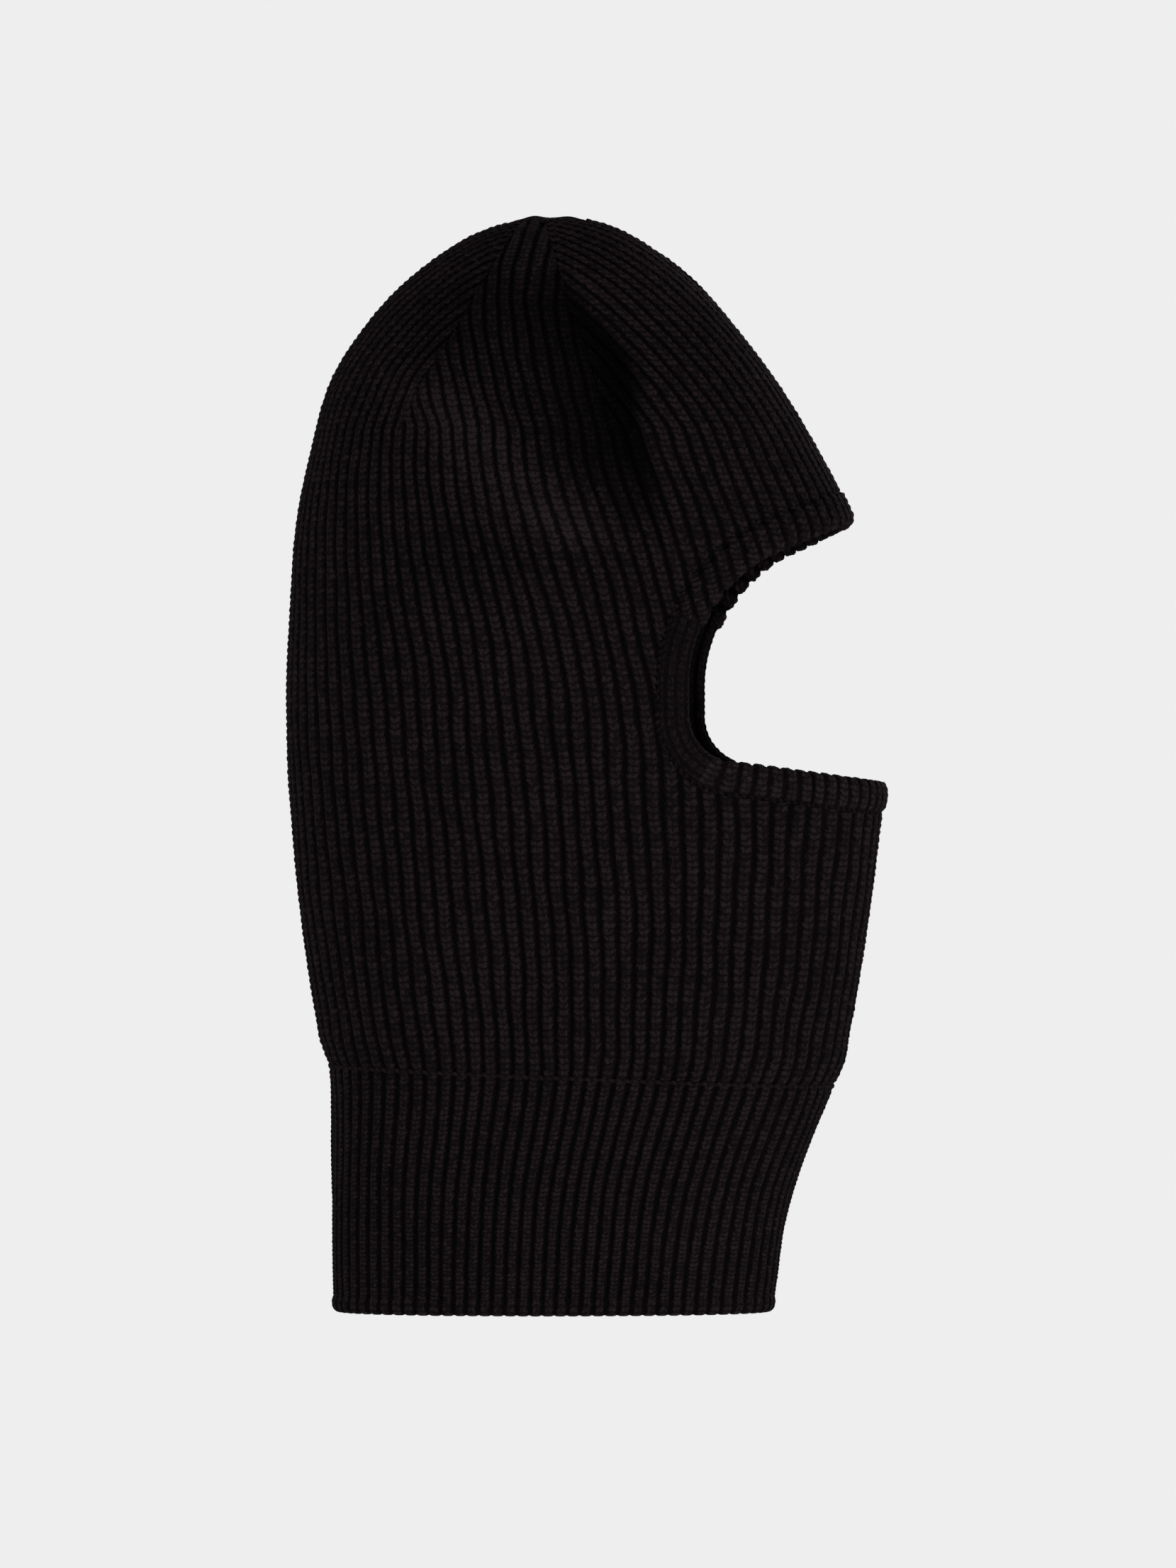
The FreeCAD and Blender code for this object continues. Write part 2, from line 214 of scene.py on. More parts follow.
# Painted shade and painted highlight: the share of the yarn's light that each place takes away or adds.
FOLD_SHADE, DART_SHADE, LOW_SHADE = 0.82, 0.22, 0.20
RIDGE_HIGHLIGHT, TOP_HIGHLIGHT = 1.25, 0.25


def shade(p, side):
    """The yarn's tone, painted to match the photo and not an effect of the knit: painted shade in the fold,
    along the back dart and in a band below the ridge; painted highlight on the ridge and at the top."""
    y, z = p[..., 1], p[..., 2]
    gap = np.interp(z, SOFT_Z, SOFT_Y) - y
    deep = np.minimum(1.7 * (fold_depth(z, side) / max(EDGE_DEPTH)), 1.0)
    near = np.where(gap < 0.0, np.exp(-((gap / 46.0) ** 2)), 1.0 - smooth(gap / 7.0))
    # painted shade in the fold behind the brow
    out = 1.0 - FOLD_SHADE * deep * near
    # painted highlight towards the top of the crown
    out = out * (1.0 + TOP_HIGHLIGHT * smooth((z - 372.0) / 40.0))
    # painted shade along the back dart
    off_dart = y - dart_y(z, "back")
    out = out * (1.0 - DART_SHADE * np.exp(-((off_dart / 9.0) ** 2))
                 * smooth((z - 336.0) / 20.0) * smooth((412.0 - z) / 15.0))
    # painted highlight on the ridge
    along = np.clip((z - 292.0) / 64.0, -0.3, 1.3)
    off_ridge = y - (-3.0 + 62.0 * along)
    high = smooth((z - 285.0) / 20.0) * smooth((372.0 - z) / 30.0)
    out = out * (1.0 + RIDGE_HIGHLIGHT * np.exp(-((off_ridge / 19.0) ** 2)) * high)
    # painted shade in a band below the ridge
    low = z - 286.0 - 0.08 * y
    out = out * (1.0 - LOW_SHADE * np.exp(-((low / 10.0) ** 2))
                 * smooth((y + 35.0) / 30.0) * smooth((88.0 - y) / 30.0))
    return out


def shaped(q, turn, side):
    p = base_point(q, turn)
    out = p + normal_of(base_point, q, turn) * swell(p, side)[..., None]
    x = out[..., 0]
    out[..., 0] = x - sink(p, side) * np.tanh(x / 14.0)
    return out


def surface(q, turn, side):
    """Place and outward normal on the shaped form; x is mirrored for the wearer's right."""
    q, turn = np.broadcast_arrays(np.asarray(q, float), np.asarray(turn, float))

    def place(a, b):
        return shaped(a, b, side)
    p, n = place(q, turn), normal_of(place, q, turn)
    flip = np.stack((side + 0.0 * q, 1.0 + 0.0 * q, 1.0 + 0.0 * q), axis=-1)
    return p * flip, n * flip


# ---------------------------------------------------------------- lengths around the form

TABLE_Q = np.linspace(0.0, PROFILE_Q[-1] - 0.4, 300)
TABLE_T = np.linspace(math.pi / 2.0, -math.pi / 2.0, 361)      # centre back to centre front
RING = base_point(TABLE_Q[:, None], TABLE_T[None, :])
PIECE = np.linalg.norm(np.diff(RING, axis=1), axis=-1)
ARC = np.concatenate((np.zeros((len(TABLE_Q), 1)), np.cumsum(PIECE, axis=1)), axis=1)
HALF = ARC[:, -1]
SHARES = np.linspace(0.0, 1.0, 361)
TURN_AT = np.array([np.interp(SHARES, a / a[-1], TABLE_T) for a in ARC])


def look_up(grid, i, j):
    i = np.clip(i, 0.0, grid.shape[0] - 1.001)
    j = np.clip(j, 0.0, grid.shape[1] - 1.001)
    i, j = np.broadcast_arrays(i, j)
    a, b = i.astype(int), j.astype(int)
    u, v = i - a, j - b
    return ((grid[a, b] * (1 - v) + grid[a, b + 1] * v) * (1 - u)
            + (grid[a + 1, b] * (1 - v) + grid[a + 1, b + 1] * v) * u)


def q_row(q):
    return q / TABLE_Q[-1] * (len(TABLE_Q) - 1)


def turn_of_share(q, share):
    return look_up(TURN_AT, q_row(q), share * (len(SHARES) - 1))


def arc_of_turn(q, turn):
    return look_up(ARC, q_row(q), (math.pi / 2.0 - turn) / math.pi * (len(TABLE_T) - 1))


def half_length(q):
    return np.interp(q, TABLE_Q, HALF)


def turn_of_y(q, y):
    z, back, front, width = level(q)
    k = np.clip((y - (back + front) / 2.0) / np.maximum((back - front) / 2.0, 1e-6), -0.99999, 0.99999)
    a = np.abs(k) ** SQUARENESS
    return np.sign(k) * np.arctan((a / (1.0 - a)) ** (1.0 / SQUARENESS))


# ---------------------------------------------------------------- ribs and stitches

RIBS = 42                # ribs from the centre back to the centre front
BROW_RIBS = 47           # the same above the face opening, where more ribs start at the brow hem
SPREAD = 0.085           # ribs lie closer together at the sides than at the back and front
COURSE = 2.6             # height of a row of stitches in the body
BAND_COURSE = 1.75       # and in the neck band
SLANT = 0.8              # slope of a stitch's legs, in rows to a rib's width
LEFT_RIB = 48.0          # ribs of the wearer's left are numbered from here, so that its loops differ
LOOP_RIBS, LOOP_ROWS = 96, 400
rng = np.random.default_rng(11)
LOOPS = rng.uniform(0.55, 1.3, (LOOP_RIBS, LOOP_ROWS, 2))
DRIFT = rng.normal(0.0, 0.07, LOOP_RIBS)


def numbered(ribs, side):
    return ribs + (0.0 if side < 0 else LEFT_RIB)


def even(share):
    return share - SPREAD * np.sin(TURN * share) / TURN


def lean(z):
    return 0.028 * smooth((z - 120.0) / 130.0) + 0.055 * smooth((z - 232.0) / 100.0)


def wander(s, z):
    """Ribs run a little unevenly, in ribs."""
    calm = 0.35 + 0.65 * smooth((z - 92.0) / 12.0)
    wave = 0.06 * np.sin(z / 6.3 + 41.0 * s) * np.sin(z / 19.0 + 9.0 * s + 1.0)
    wave = wave + 0.06 * np.sin(z / 15.0 - 23.0 * s + 2.0) * np.sin(z / 41.0 + 6.0 * s)
    return calm * wave * smooth(s / 0.03) * smooth((1.0 - s) / 0.03)


def rib_of_share(share, z):
    s = np.clip(share, 0.0, 1.0)
    ribs = RIBS * even(s + lean(z) * np.sin(math.pi * s) ** 1.5) + wander(s, z)
    front = np.clip((s - 0.52) / 0.48, 0.0, 1.0) ** 1.3
    return ribs + (BROW_RIBS - RIBS) * smooth((z - 214.0) / 50.0) * front


FINE = np.linspace(0.0, 1.0, 721)


def share_of_rib(rib, z):
    """Rows of z by columns of rib, to the share of the way round."""
    return np.array([np.interp(rib, rib_of_share(FINE, h), FINE) for h in z])


BASE_Q = float(q_of(CROWN_BASE))
BASE_HALF = float(half_length(BASE_Q))
BASE_ARC = FINE * BASE_HALF
BASE_RIB = rib_of_share(FINE, CROWN_BASE)


def ridge(rib, height=0.45, depth=0.85, widen=0.0):
    d = np.abs(rib % 1.0 - 0.5) * 2.0 * (1.0 - widen)
    return height * (1.0 - 0.7 * d * d) - depth * smooth((d - 0.5) / 0.5)


def drift(rib):
    return DRIFT[np.floor(rib).astype(int) % LOOP_RIBS]


def stitch(rib, course):
    """How far the two legs of a knitted V stand out on each rib, from 0 to about 1."""
    u = rib % 1.0
    which = np.floor(rib).astype(int) % LOOP_RIBS
    out = np.zeros(np.broadcast(rib, course).shape)
    for leg, centre in enumerate((0.335, 0.665)):
        phase = course - SLANT * np.abs(u - 0.5)
        row = np.floor(phase).astype(int) % LOOP_ROWS
        bead = (0.5 - 0.5 * np.cos(TURN * phase)) ** 0.7
        width = np.clip(1.0 - ((u - centre) / 0.19) ** 2, 0.0, 1.0)
        out = out + bead * width * LOOPS[which, row, leg]
    return out


def knit(rib, course, height=0.45, depth=0.85, size=0.42):
    phase = course - SLANT * np.abs(rib % 1.0 - 0.5)
    which = np.floor(rib).astype(int) % LOOP_RIBS
    uneven = LOOPS[which, np.floor(phase).astype(int) % LOOP_ROWS, 1]
    widen = 0.20 * (0.5 - 0.5 * np.cos(TURN * phase)) * uneven - 0.09
    return ridge(rib, height, depth, widen) + size * stitch(rib, course)


# ---------------------------------------------------------------- meshes

def mesh_from(name, points, faces, values, nodes, material):
    mesh = bpy.data.meshes.new(name)
    count, sides = faces.shape
    mesh.vertices.add(len(points))
    mesh.vertices.foreach_set("co", (points * 0.001).astype(np.float32).ravel())
    mesh.loops.add(count * sides)
    mesh.loops.foreach_set("vertex_index", faces.astype(np.int32).ravel())
    mesh.polygons.add(count)
    mesh.polygons.foreach_set("loop_start", np.arange(0, count * sides, sides, dtype=np.int32))
    mesh.polygons.foreach_set("use_smooth", np.ones(count, dtype=bool))
    mesh.update(calc_edges=True)
    for k, word in enumerate(("tone", "rib", "course")):
        layer = mesh.attributes.new(word, "FLOAT", "POINT")
        layer.data.foreach_set("value", values[:, k].astype(np.float32))
    mesh.materials.append(material)
    piece = bpy.data.objects.new(name, mesh)
    bpy.context.scene.collection.objects.link(piece)
    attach(piece, "root")
    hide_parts(*nodes)
    return piece


def grid_faces(rows, cols, closed_cols=False, flip=False):
    i = np.arange(rows - 1)
    j = np.arange(cols if closed_cols else cols - 1)
    a, b = np.meshgrid(i, j, indexing="ij")
    c, d = a + 1, (b + 1) % cols
    f = np.stack((a * cols + b, a * cols + d, c * cols + d, c * cols + b), axis=-1).reshape(-1, 4)
    return f[:, ::-1] if flip else f


def tidy(points, faces, values):
    used = np.unique(faces)
    index = np.zeros(len(points), dtype=np.int64)
    index[used] = np.arange(len(used))
    return points[used], index[faces], values[used]


class Stack:
    """Grids of points gathered into one piece."""

    def __init__(self):
        self.points, self.faces, self.values, self.count = [], [], [], 0

    def add(self, grid, tone, ribs=0.0, course=0.0, keep=None, flip=False, closed_cols=False):
        rows, cols = grid.shape[:2]
        faces = grid_faces(rows, cols, closed_cols, flip)
        if keep is not None:
            faces = faces[keep.reshape(-1)[faces].all(axis=1)]
        self.points.append(grid.reshape(-1, 3))
        values = [np.broadcast_to(v, (rows, cols)).reshape(-1) for v in (tone, ribs, course)]
        self.values.append(np.stack(values, axis=-1))
        self.faces.append(faces + self.count)
        self.count += rows * cols

    def piece(self, name, slot, nodes, material):
        p, f, v = tidy(np.vstack(self.points), np.vstack(self.faces), np.vstack(self.values))
        return mesh_from(name, p, f, v, nodes, material)


# ---------------------------------------------------------------- materials

def yarn_material(name, light, stitched=True, groove_shade=0.085, slope=0.10, legs=0.165, fibre=1.0):
    m = bpy.data.materials.new(name)
    m.use_nodes = True
    tree = m.node_tree
    nodes, links = tree.nodes, tree.links
    nodes.clear()

    def maths(kind, *values, clamp=False):
        n = nodes.new("ShaderNodeMath")
        n.operation = kind
        n.use_clamp = clamp
        for k, value in enumerate(values):
            if isinstance(value, float):
                n.inputs[k].default_value = value
            else:
                links.new(value, n.inputs[k])
        return n.outputs[0]

    def read(word):
        n = nodes.new("ShaderNodeAttribute")
        n.attribute_name = word
        return n.outputs["Fac"]

    where = nodes.new("ShaderNodeTexCoord").outputs["Object"]

    def noise(scale, detail=2.0, rough=0.6):
        n = nodes.new("ShaderNodeTexNoise")
        n.inputs["Scale"].default_value = scale
        n.inputs["Detail"].default_value = detail
        n.inputs["Roughness"].default_value = rough
        links.new(where, n.inputs["Vector"])
        return n.outputs[0]

    def ramp(source, low, high):
        n = nodes.new("ShaderNodeMapRange")
        n.inputs["From Min"].default_value = low
        n.inputs["From Max"].default_value = high
        links.new(source, n.inputs["Value"])
        return n.outputs[0]

    def blend(factor, a, b):
        n = nodes.new("ShaderNodeMix")
        n.data_type = "RGBA"
        links.new(factor, n.inputs[0])
        for slot_index, colour in ((6, a), (7, b)):
            if isinstance(colour, tuple):
                n.inputs[slot_index].default_value = (*colour, 1.0)
            else:
                links.new(colour, n.inputs[slot_index])
        return n.outputs[2]

    strand = noise(2600.0, 2.0, 0.6)
    patch = noise(34.0, 2.0, 0.5)
    tone = read("tone")
    if stitched:
        # each rib carries two columns of slanting legs, uneven from loop to loop; in the colour the legs are
        # painted highlight and the grooves between ribs painted shade, and the legs also drive the bump
        rib = maths("MULTIPLY_ADD", noise(640.0, 2.0), 0.50, maths("SUBTRACT", read("rib"), 0.25))
        off = maths("SUBTRACT", maths("FRACT", rib), 0.5)
        away = maths("ABSOLUTE", off)
        phase = maths("MULTIPLY_ADD", away, -SLANT, read("course"))
        phase = maths("MULTIPLY_ADD", noise(330.0, 1.0), 0.7, phase)
        f = maths("MULTIPLY_ADD", maths("FRACT", phase), 2.0, -1.0)
        bead = maths("SUBTRACT", 1.0, maths("POWER", maths("ABSOLUTE", f), 1.6))
        g = maths("DIVIDE", maths("ABSOLUTE", maths("SUBTRACT", away, legs)), legs * 1.08)
        leg = maths("SUBTRACT", 1.0, maths("MULTIPLY", g, g), clamp=True)
        leg = maths("POWER", leg, 0.7)
        place = nodes.new("ShaderNodeCombineXYZ")
        links.new(maths("FLOOR", rib), place.inputs[0])
        links.new(maths("FLOOR", phase), place.inputs[1])
        links.new(maths("SIGN", off), place.inputs[2])
        chance = nodes.new("ShaderNodeTexWhiteNoise")
        links.new(place.outputs[0], chance.inputs["Vector"])
        loop = maths("MULTIPLY_ADD", chance.outputs["Value"], 1.1, 0.36)
        leg_highlight = maths("MULTIPLY", maths("MULTIPLY", bead, leg), loop)
        body = maths("SUBTRACT", 1.0, ramp(away, legs * 1.4, 0.48))
        # painted shade: darkest in the groove between ribs, lighter over the rib's body
        lit = maths("MULTIPLY_ADD", body, slope, groove_shade)
        # painted highlight on the stitch legs
        lit = maths("ADD", lit, maths("MULTIPLY", leg_highlight, 1.15 - groove_shade - slope))
        lit = maths("MULTIPLY", lit, tone)
        relief = maths("MULTIPLY_ADD", strand, 0.5, leg_highlight)
    else:
        lit = tone
        relief = strand
    lit = maths("MULTIPLY", lit, maths("MULTIPLY_ADD", ramp(strand, 0.36, 0.64), 1.0, 0.30))
    lit = maths("MULTIPLY", lit, ramp(patch, -1.3, 0.80))
    colour = blend(lit, DARK, light)
    for scale, fleck in ((1150.0, BLUE), (980.0, RED)):
        colour = blend(maths("MULTIPLY", ramp(noise(scale, 1.0, 0.4), 0.62, 0.74), lit), colour, fleck)
    skin = nodes.new("ShaderNodeBsdfPrincipled")
    links.new(colour, skin.inputs["Base Color"])
    skin.inputs["Roughness"].default_value = 0.82
    skin.inputs["Specular IOR Level"].default_value = 0.10
    skin.inputs["Sheen Weight"].default_value = 0.04
    skin.inputs["Sheen Roughness"].default_value = 0.45
    skin.inputs["Sheen Tint"].default_value = (0.62, 0.54, 0.56, 1.0)
    bump = nodes.new("ShaderNodeBump")
    bump.inputs["Strength"].default_value = 0.7
    bump.inputs["Distance"].default_value = 0.0004 * fibre
    links.new(relief, bump.inputs["Height"])
    links.new(bump.outputs[0], skin.inputs["Normal"])
    out = nodes.new("ShaderNodeOutputMaterial")
    links.new(skin.outputs[0], out.inputs[0])
    return m


DARK = (0.0014, 0.0011, 0.0012)
BLUE = (0.060, 0.046, 0.082)
RED = (0.080, 0.042, 0.046)
RIB_KNIT = yarn_material("rib_knit_yarn", (0.062, 0.042, 0.049))
NECK_KNIT = yarn_material("neck_knit_yarn", (0.062, 0.042, 0.0485), legs=0.15, fibre=0.8)
TRIM_KNIT = yarn_material("trim_knit_yarn", (0.080, 0.055, 0.063), groove_shade=0.10, slope=0.12)
SIDE_KNIT = yarn_material("side_trim_knit_yarn", (0.048, 0.033, 0.038), groove_shade=0.26, slope=0.10)
LINK_YARN = yarn_material("linking_yarn", (0.046, 0.032, 0.037), stitched=False)

# ---------------------------------------------------------------- the face opening, seen from the side

STRAIGHT, MIDDLE = 160, 20          # points on each long straight stretch of the free edge and on the short


def opening_line():
    """Points, outward directions and run of the free edge, from the chin's front to the brow's front."""
    foot = np.array((OPEN_BACK, OPEN_FOOT))
    top = np.array((OPEN_BACK, OPEN_TOP))
    chin_way = np.array((-math.cos(CHIN_SLOPE), -math.sin(CHIN_SLOPE)))
    brow_way = np.array((-math.cos(BROW_SLOPE), math.sin(BROW_SLOPE)))

    def bend(corner, way_in, way_out, radius, count):
        # way_in and way_out both point away from the corner
        cosine = float(np.dot(way_in, way_out))
        half = math.acos(cosine) / 2.0
        tangent = radius / math.tan(half)
        middle = corner + unit(way_in + way_out) * radius / math.sin(half)
        a, b = corner + way_in * tangent - middle, corner + way_out * tangent - middle
        start = math.atan2(a[1], a[0])
        sweep = (math.atan2(b[1], b[0]) - start + math.pi) % TURN - math.pi
        angles = start + sweep * np.linspace(0.0, 1.0, count)
        return middle, np.stack((np.cos(angles), np.sin(angles)), axis=-1)

    up = np.array((0.0, 1.0))
    c1, d1 = bend(foot, chin_way, up, CHIN_BEND, 60)
    c2, d2 = bend(top, -up, brow_way, BROW_BEND, 110)
    p1, p2 = c1 + d1 * CHIN_BEND, c2 + d2 * BROW_BEND
    chin_out = np.array((-chin_way[1], chin_way[0]))
    brow_out = np.array((brow_way[1], -brow_way[0]))

    def straight(a, b, count):
        return a + (b - a) * np.linspace(0.0, 1.0, count)[:, None]

    chin_front = foot + chin_way * 100.0
    brow_front = top + brow_way * 100.0
    points = np.vstack((straight(chin_front, p1[0], STRAIGHT)[:-1], p1, straight(p1[-1], p2[0], MIDDLE)[1:-1],
                        p2, straight(p2[-1], brow_front, STRAIGHT)[1:]))
    outs = np.vstack((np.tile(chin_out, (STRAIGHT - 1, 1)), d1, np.tile((1.0, 0.0), (MIDDLE - 2, 1)), d2,
                      np.tile(brow_out, (STRAIGHT - 1, 1))))
    return points, unit(outs), run_along(points)


OPEN_P, OPEN_N, OPEN_RUN = opening_line()


def clear_of_opening(y, z):
    """Distance from the free edge in the side view, positive in the knit."""
    shape = y.shape
    y, z = y.reshape(-1), z.reshape(-1)
    out = np.full(len(y), 60.0)
    near = np.flatnonzero((y < OPEN_BACK + 40.0) & (z > 170.0) & (z < 350.0))
    for part in np.array_split(near, max(1, len(near) // 20000)):
        dy = y[part, None] - OPEN_P[None, :, 0]
        dz = z[part, None] - OPEN_P[None, :, 1]
        k = np.argmin(dy * dy + dz * dz, axis=1)
        i = np.arange(len(part))
        side = dy[i, k] * OPEN_N[k, 0] + dz[i, k] * OPEN_N[k, 1]
        out[part] = np.sign(side) * np.hypot(dy[i, k], dz[i, k])
    return out.reshape(shape)


# ---------------------------------------------------------------- body panel

PHASES = np.array((0.0, 0.09, 0.20, 0.335, 0.5, 0.665, 0.80, 0.91))


def rib_columns(first, last, phases=PHASES):
    cols = (np.arange(first, last)[:, None] + phases[None, :]).reshape(-1)
    return np.append(cols, float(last))


INNER_SKIN = -FABRIC + 0.2          # from the outer form to the inner one


def ribbed_sheet(stack, side, cols, q, course_of, inner=False, band=False, keep_from=None, **look):
    """A sheet whose columns follow the ribs, on one side of the balaclava."""
    z = level(q)[0]
    share = share_of_rib(cols, z)
    turn = turn_of_share(q[:, None], share)
    p, n = surface(q[:, None] + 0.0 * share, turn, side)
    course = course_of(q, z)[:, None] + 0.0 * share
    ribs = cols[None, :] + (0.5 if inner else 0.0) + 0.0 * share
    ribs = numbered(ribs, side)
    course = course + drift(ribs)
    lift = knit(ribs, course, **look)
    lift = -lift if inner else lift
    rise = p[..., 2] - join_height(p[..., 1])
    if band:
        lift = lift - 0.6 * smooth((3.0 + rise) / 3.5)
        keep = rise < 0.6
    else:
        lift = lift - (0.0 if inner else 0.8) * smooth((3.6 - rise) / 3.6)
        keep = rise > -0.6
    if keep_from is not None:
        keep &= clear_of_opening(p[..., 1], p[..., 2]) > keep_from
    grid = p + n * ((INNER_SKIN if inner else 0.0) + lift)[..., None]
    stack.add(grid, shade(p, side), ribs, course, keep=keep, flip=(side > 0) != inner)


def body_course(q, z):
    return q / COURSE


def band_course(q, z):
    # stitches are short at the join and open out towards the hem
    down = np.clip((JOIN_Z - z) / JOIN_Z, 0.0, 1.0)
    return 40.0 - down * JOIN_Z / BAND_COURSE + 6.5 * down * (1.0 - down)


HALF_RIBS = RIBS // 2
BODY_FOOT, BAND_TOP = 84.0, 97.0    # both run past the join, and each is cut there
OUTER_EDGE, INNER_EDGE = 12.4, 7.0  # where the two skins end, from the opening's free edge
ROW = COURSE / 3.0
body_q = np.arange(float(q_of(BODY_FOOT)), BASE_Q + ROW / 2, ROW)
body_q = body_q * (BASE_Q / body_q[-1])
body_in_q = np.arange(float(q_of(BODY_FOOT)), BASE_Q + 0.65, 1.3)
body_in_q = body_in_q * (BASE_Q / body_in_q[-1])
INNER_PHASES = np.array((0.0, 0.16, 0.335, 0.5, 0.665, 0.84))


def halves(q):
    """Rows up to the middle of the face opening, and rows from there on."""
    k = int(np.argmin(np.abs(level(q)[0] - 240.0)))
    return (q[:k + 1], RIBS), (q[k:], BROW_RIBS)


for side, word in ((-1, "right"), (1, "left")):
    s = Stack()
    ribbed_sheet(s, side, rib_columns(0, HALF_RIBS), body_q, body_course, keep_from=OUTER_EDGE)
    s.piece("body_back_%s_knit" % word, "rib_knit", ["body_rib_panel"], RIB_KNIT)
    s = Stack()
    for rows_q, last in halves(body_q):
        ribbed_sheet(s, side, rib_columns(HALF_RIBS, last), rows_q, body_course, keep_from=OUTER_EDGE)
    s.piece("body_front_%s_knit" % word, "rib_knit", ["body_rib_panel"], RIB_KNIT)
inner = Stack()
for side in (-1, 1):
    for rows_q, last in halves(body_in_q):
        ribbed_sheet(inner, side, rib_columns(0, last, INNER_PHASES), rows_q, body_course, inner=True,
                     keep_from=INNER_EDGE, height=0.35, depth=0.9, size=0.25)
inner.piece("body_inner_knit", "rib_knit", ["body_rib_panel"], RIB_KNIT)

# ---------------------------------------------------------------- neck band and hem

band_q = np.arange(float(q_of(6.0)), float(q_of(BAND_TOP)), 0.6)
for side, word in ((-1, "right"), (1, "left")):
    s = Stack()
    ribbed_sheet(s, side, rib_columns(0, RIBS), band_q, band_course, band=True,
                 height=0.35, depth=0.9, size=0.26)
    s.piece("neck_band_%s_knit" % word, "neck_knit", ["neck_rib_band"], NECK_KNIT)
s = Stack()
inner_band_q = np.arange(float(q_of(3.0)), float(q_of(BAND_TOP)), 1.2)
for side in (-1, 1):
    ribbed_sheet(s, side, rib_columns(0, RIBS, INNER_PHASES), inner_band_q, band_course, inner=True, band=True,
                 height=0.3, depth=0.8, size=0.2)
s.piece("neck_band_inner_knit", "neck_knit", ["neck_rib_band"], NECK_KNIT)

HEM_ROLL, HEM_RISE = 3.4, 4.6       # how high the roll is below and above its widest place
s = Stack()
for side in (-1, 1):
    cols = rib_columns(0, RIBS)
    angle = np.linspace(-0.42 * math.pi, 1.42 * math.pi, 22)          # outside, round the edge, inside
    # the hem's own section: a soft roll that ends level with the band on both sides
    out = -FABRIC / 2.0 + (FABRIC / 2.0 + 0.75) * np.cos(angle)
    high = HEM_ROLL - HEM_ROLL * np.sin(angle)
    high = np.where(np.sin(angle) < 0, HEM_ROLL - HEM_RISE * np.sin(angle), high)
    q = q_of(np.clip(high, 0.0, 9.0))
    share = share_of_rib(cols, np.full(1, 4.0))[0]
    turn = turn_of_share(q[:, None], share[None, :] + 0.0 * q[:, None])
    p, n = surface(q[:, None] + 0.0 * turn, turn, side)
    p = p.copy()
    p[..., 2] = high[:, None]
    ribs = cols[None, :] + 0.0 * turn
    lift = ridge(ribs, 0.3, 0.6)
    ribs = numbered(ribs, side)
    course = (angle / TURN * 9.0)[:, None] + 0.0 * ribs
    away = np.cos(angle)[:, None]
    grid = p + n * (out[:, None] + away * (lift + 0.22 * stitch(ribs, course)))[..., None]
    grid[..., 2] -= 0.5 * np.clip(np.sin(angle), 0.0, 1.0)[:, None] * (lift - 0.3)
    grid[..., 2] = np.maximum(grid[..., 2], 0.0)
    s.add(grid, 1.0, ribs, course, flip=side < 0)
s.piece("neck_hem_roll", "neck_knit", ["neck_band_hem"], NECK_KNIT)

# ---------------------------------------------------------------- crown

TOP_Q = float(q_of(CLOSE))
GORE_COLUMNS, GORE_ROWS = {"back": 160, "side": 190, "front": 230}, 150
REF_Z = (338.0, 350.0, 363.0, 375.0, 386.0, 400.0, 409.0, 419.0)
REF_Y = (10.0, 13.6, 16.9, 19.4, 21.0, 20.0, 18.0, 15.8)


def dart_arc(q, which):
    z = level(q)[0]
    return arc_of_turn(q, turn_of_y(q, dart_y(z, which)))


def gore(name, kind, sides, nodes):
    s = Stack()
    for inner_skin in (False, True):
        across, up = GORE_COLUMNS[kind], GORE_ROWS
        if inner_skin:
            across, up = across // 3, up // 3
        q = np.linspace(BASE_Q, TOP_Q, up)
        a = {"back": 0.0 * q, "side": dart_arc(q, "back"), "front": dart_arc(q, "front")}[kind]
        b = {"back": dart_arc(q, "back"), "side": dart_arc(q, "front"), "front": half_length(q)}[kind]
        c = np.linspace(0.0, 1.0, across)
        arc = a[:, None] + (b - a)[:, None] * c[None, :]
        half = half_length(q)[:, None]
        if kind == "back":
            from_base = arc
        elif kind == "front":
            from_base = BASE_HALF - (half - arc)
        else:
            ref = arc_of_turn(q, turn_of_y(q, np.interp(level(q)[0], REF_Z, REF_Y)))[:, None]
            ref_base = float(arc_of_turn(BASE_Q, turn_of_y(BASE_Q, REF_Y[0])))
            from_base = arc - ref + ref_base
        rib = np.interp(from_base, BASE_ARC, BASE_RIB)
        above = level(q)[0][:, None] - CROWN_BASE
        rib = rib + (0.09 * smooth(above / 9.0) * np.sin(above / 6.0 + rib * 0.97)
                     * np.sin(above / 17.0 + rib * 0.21))
        turn = turn_of_share(q[:, None] + 0.0 * arc, arc / half)
        course = (q / COURSE)[:, None] + 0.0 * arc
        # the knit is drawn in along the linked darts
        gap = np.full(arc.shape, 99.0)
        if kind in ("side", "front"):
            gap = np.minimum(gap, arc - a[:, None])
        if kind in ("side", "back"):
            gap = np.minimum(gap, b[:, None] - arc)
        tuck = 0.7 * (1.0 - smooth(gap / 3.2))
        for side in sides:
            p, n = surface(q[:, None] + 0.0 * arc, turn, side)
            ribs = numbered(rib, side) + (0.5 if inner_skin else 0.0)
            rows_of = course + drift(ribs)
            lift = knit(ribs, rows_of)
            offset = -FABRIC - 0.7 * lift if inner_skin else lift - tuck
            s.add(p + n * offset[..., None], shade(p, side), ribs, rows_of, flip=(side > 0) != inner_skin)
    return s.piece(name, "rib_knit", nodes, RIB_KNIT)


gore("crown_back_knit", "back", (-1, 1), ["crown_back_gore"])
gore("crown_front_knit", "front", (-1, 1), ["crown_front_gore"])
gore("crown_right_knit", "side", (-1,), ["crown_right_gore"])
gore("crown_left_knit", "side", (1,), ["crown_left_gore"])


CORD_SIDES = 10
LINK_LOOPS = LOOPS[3]


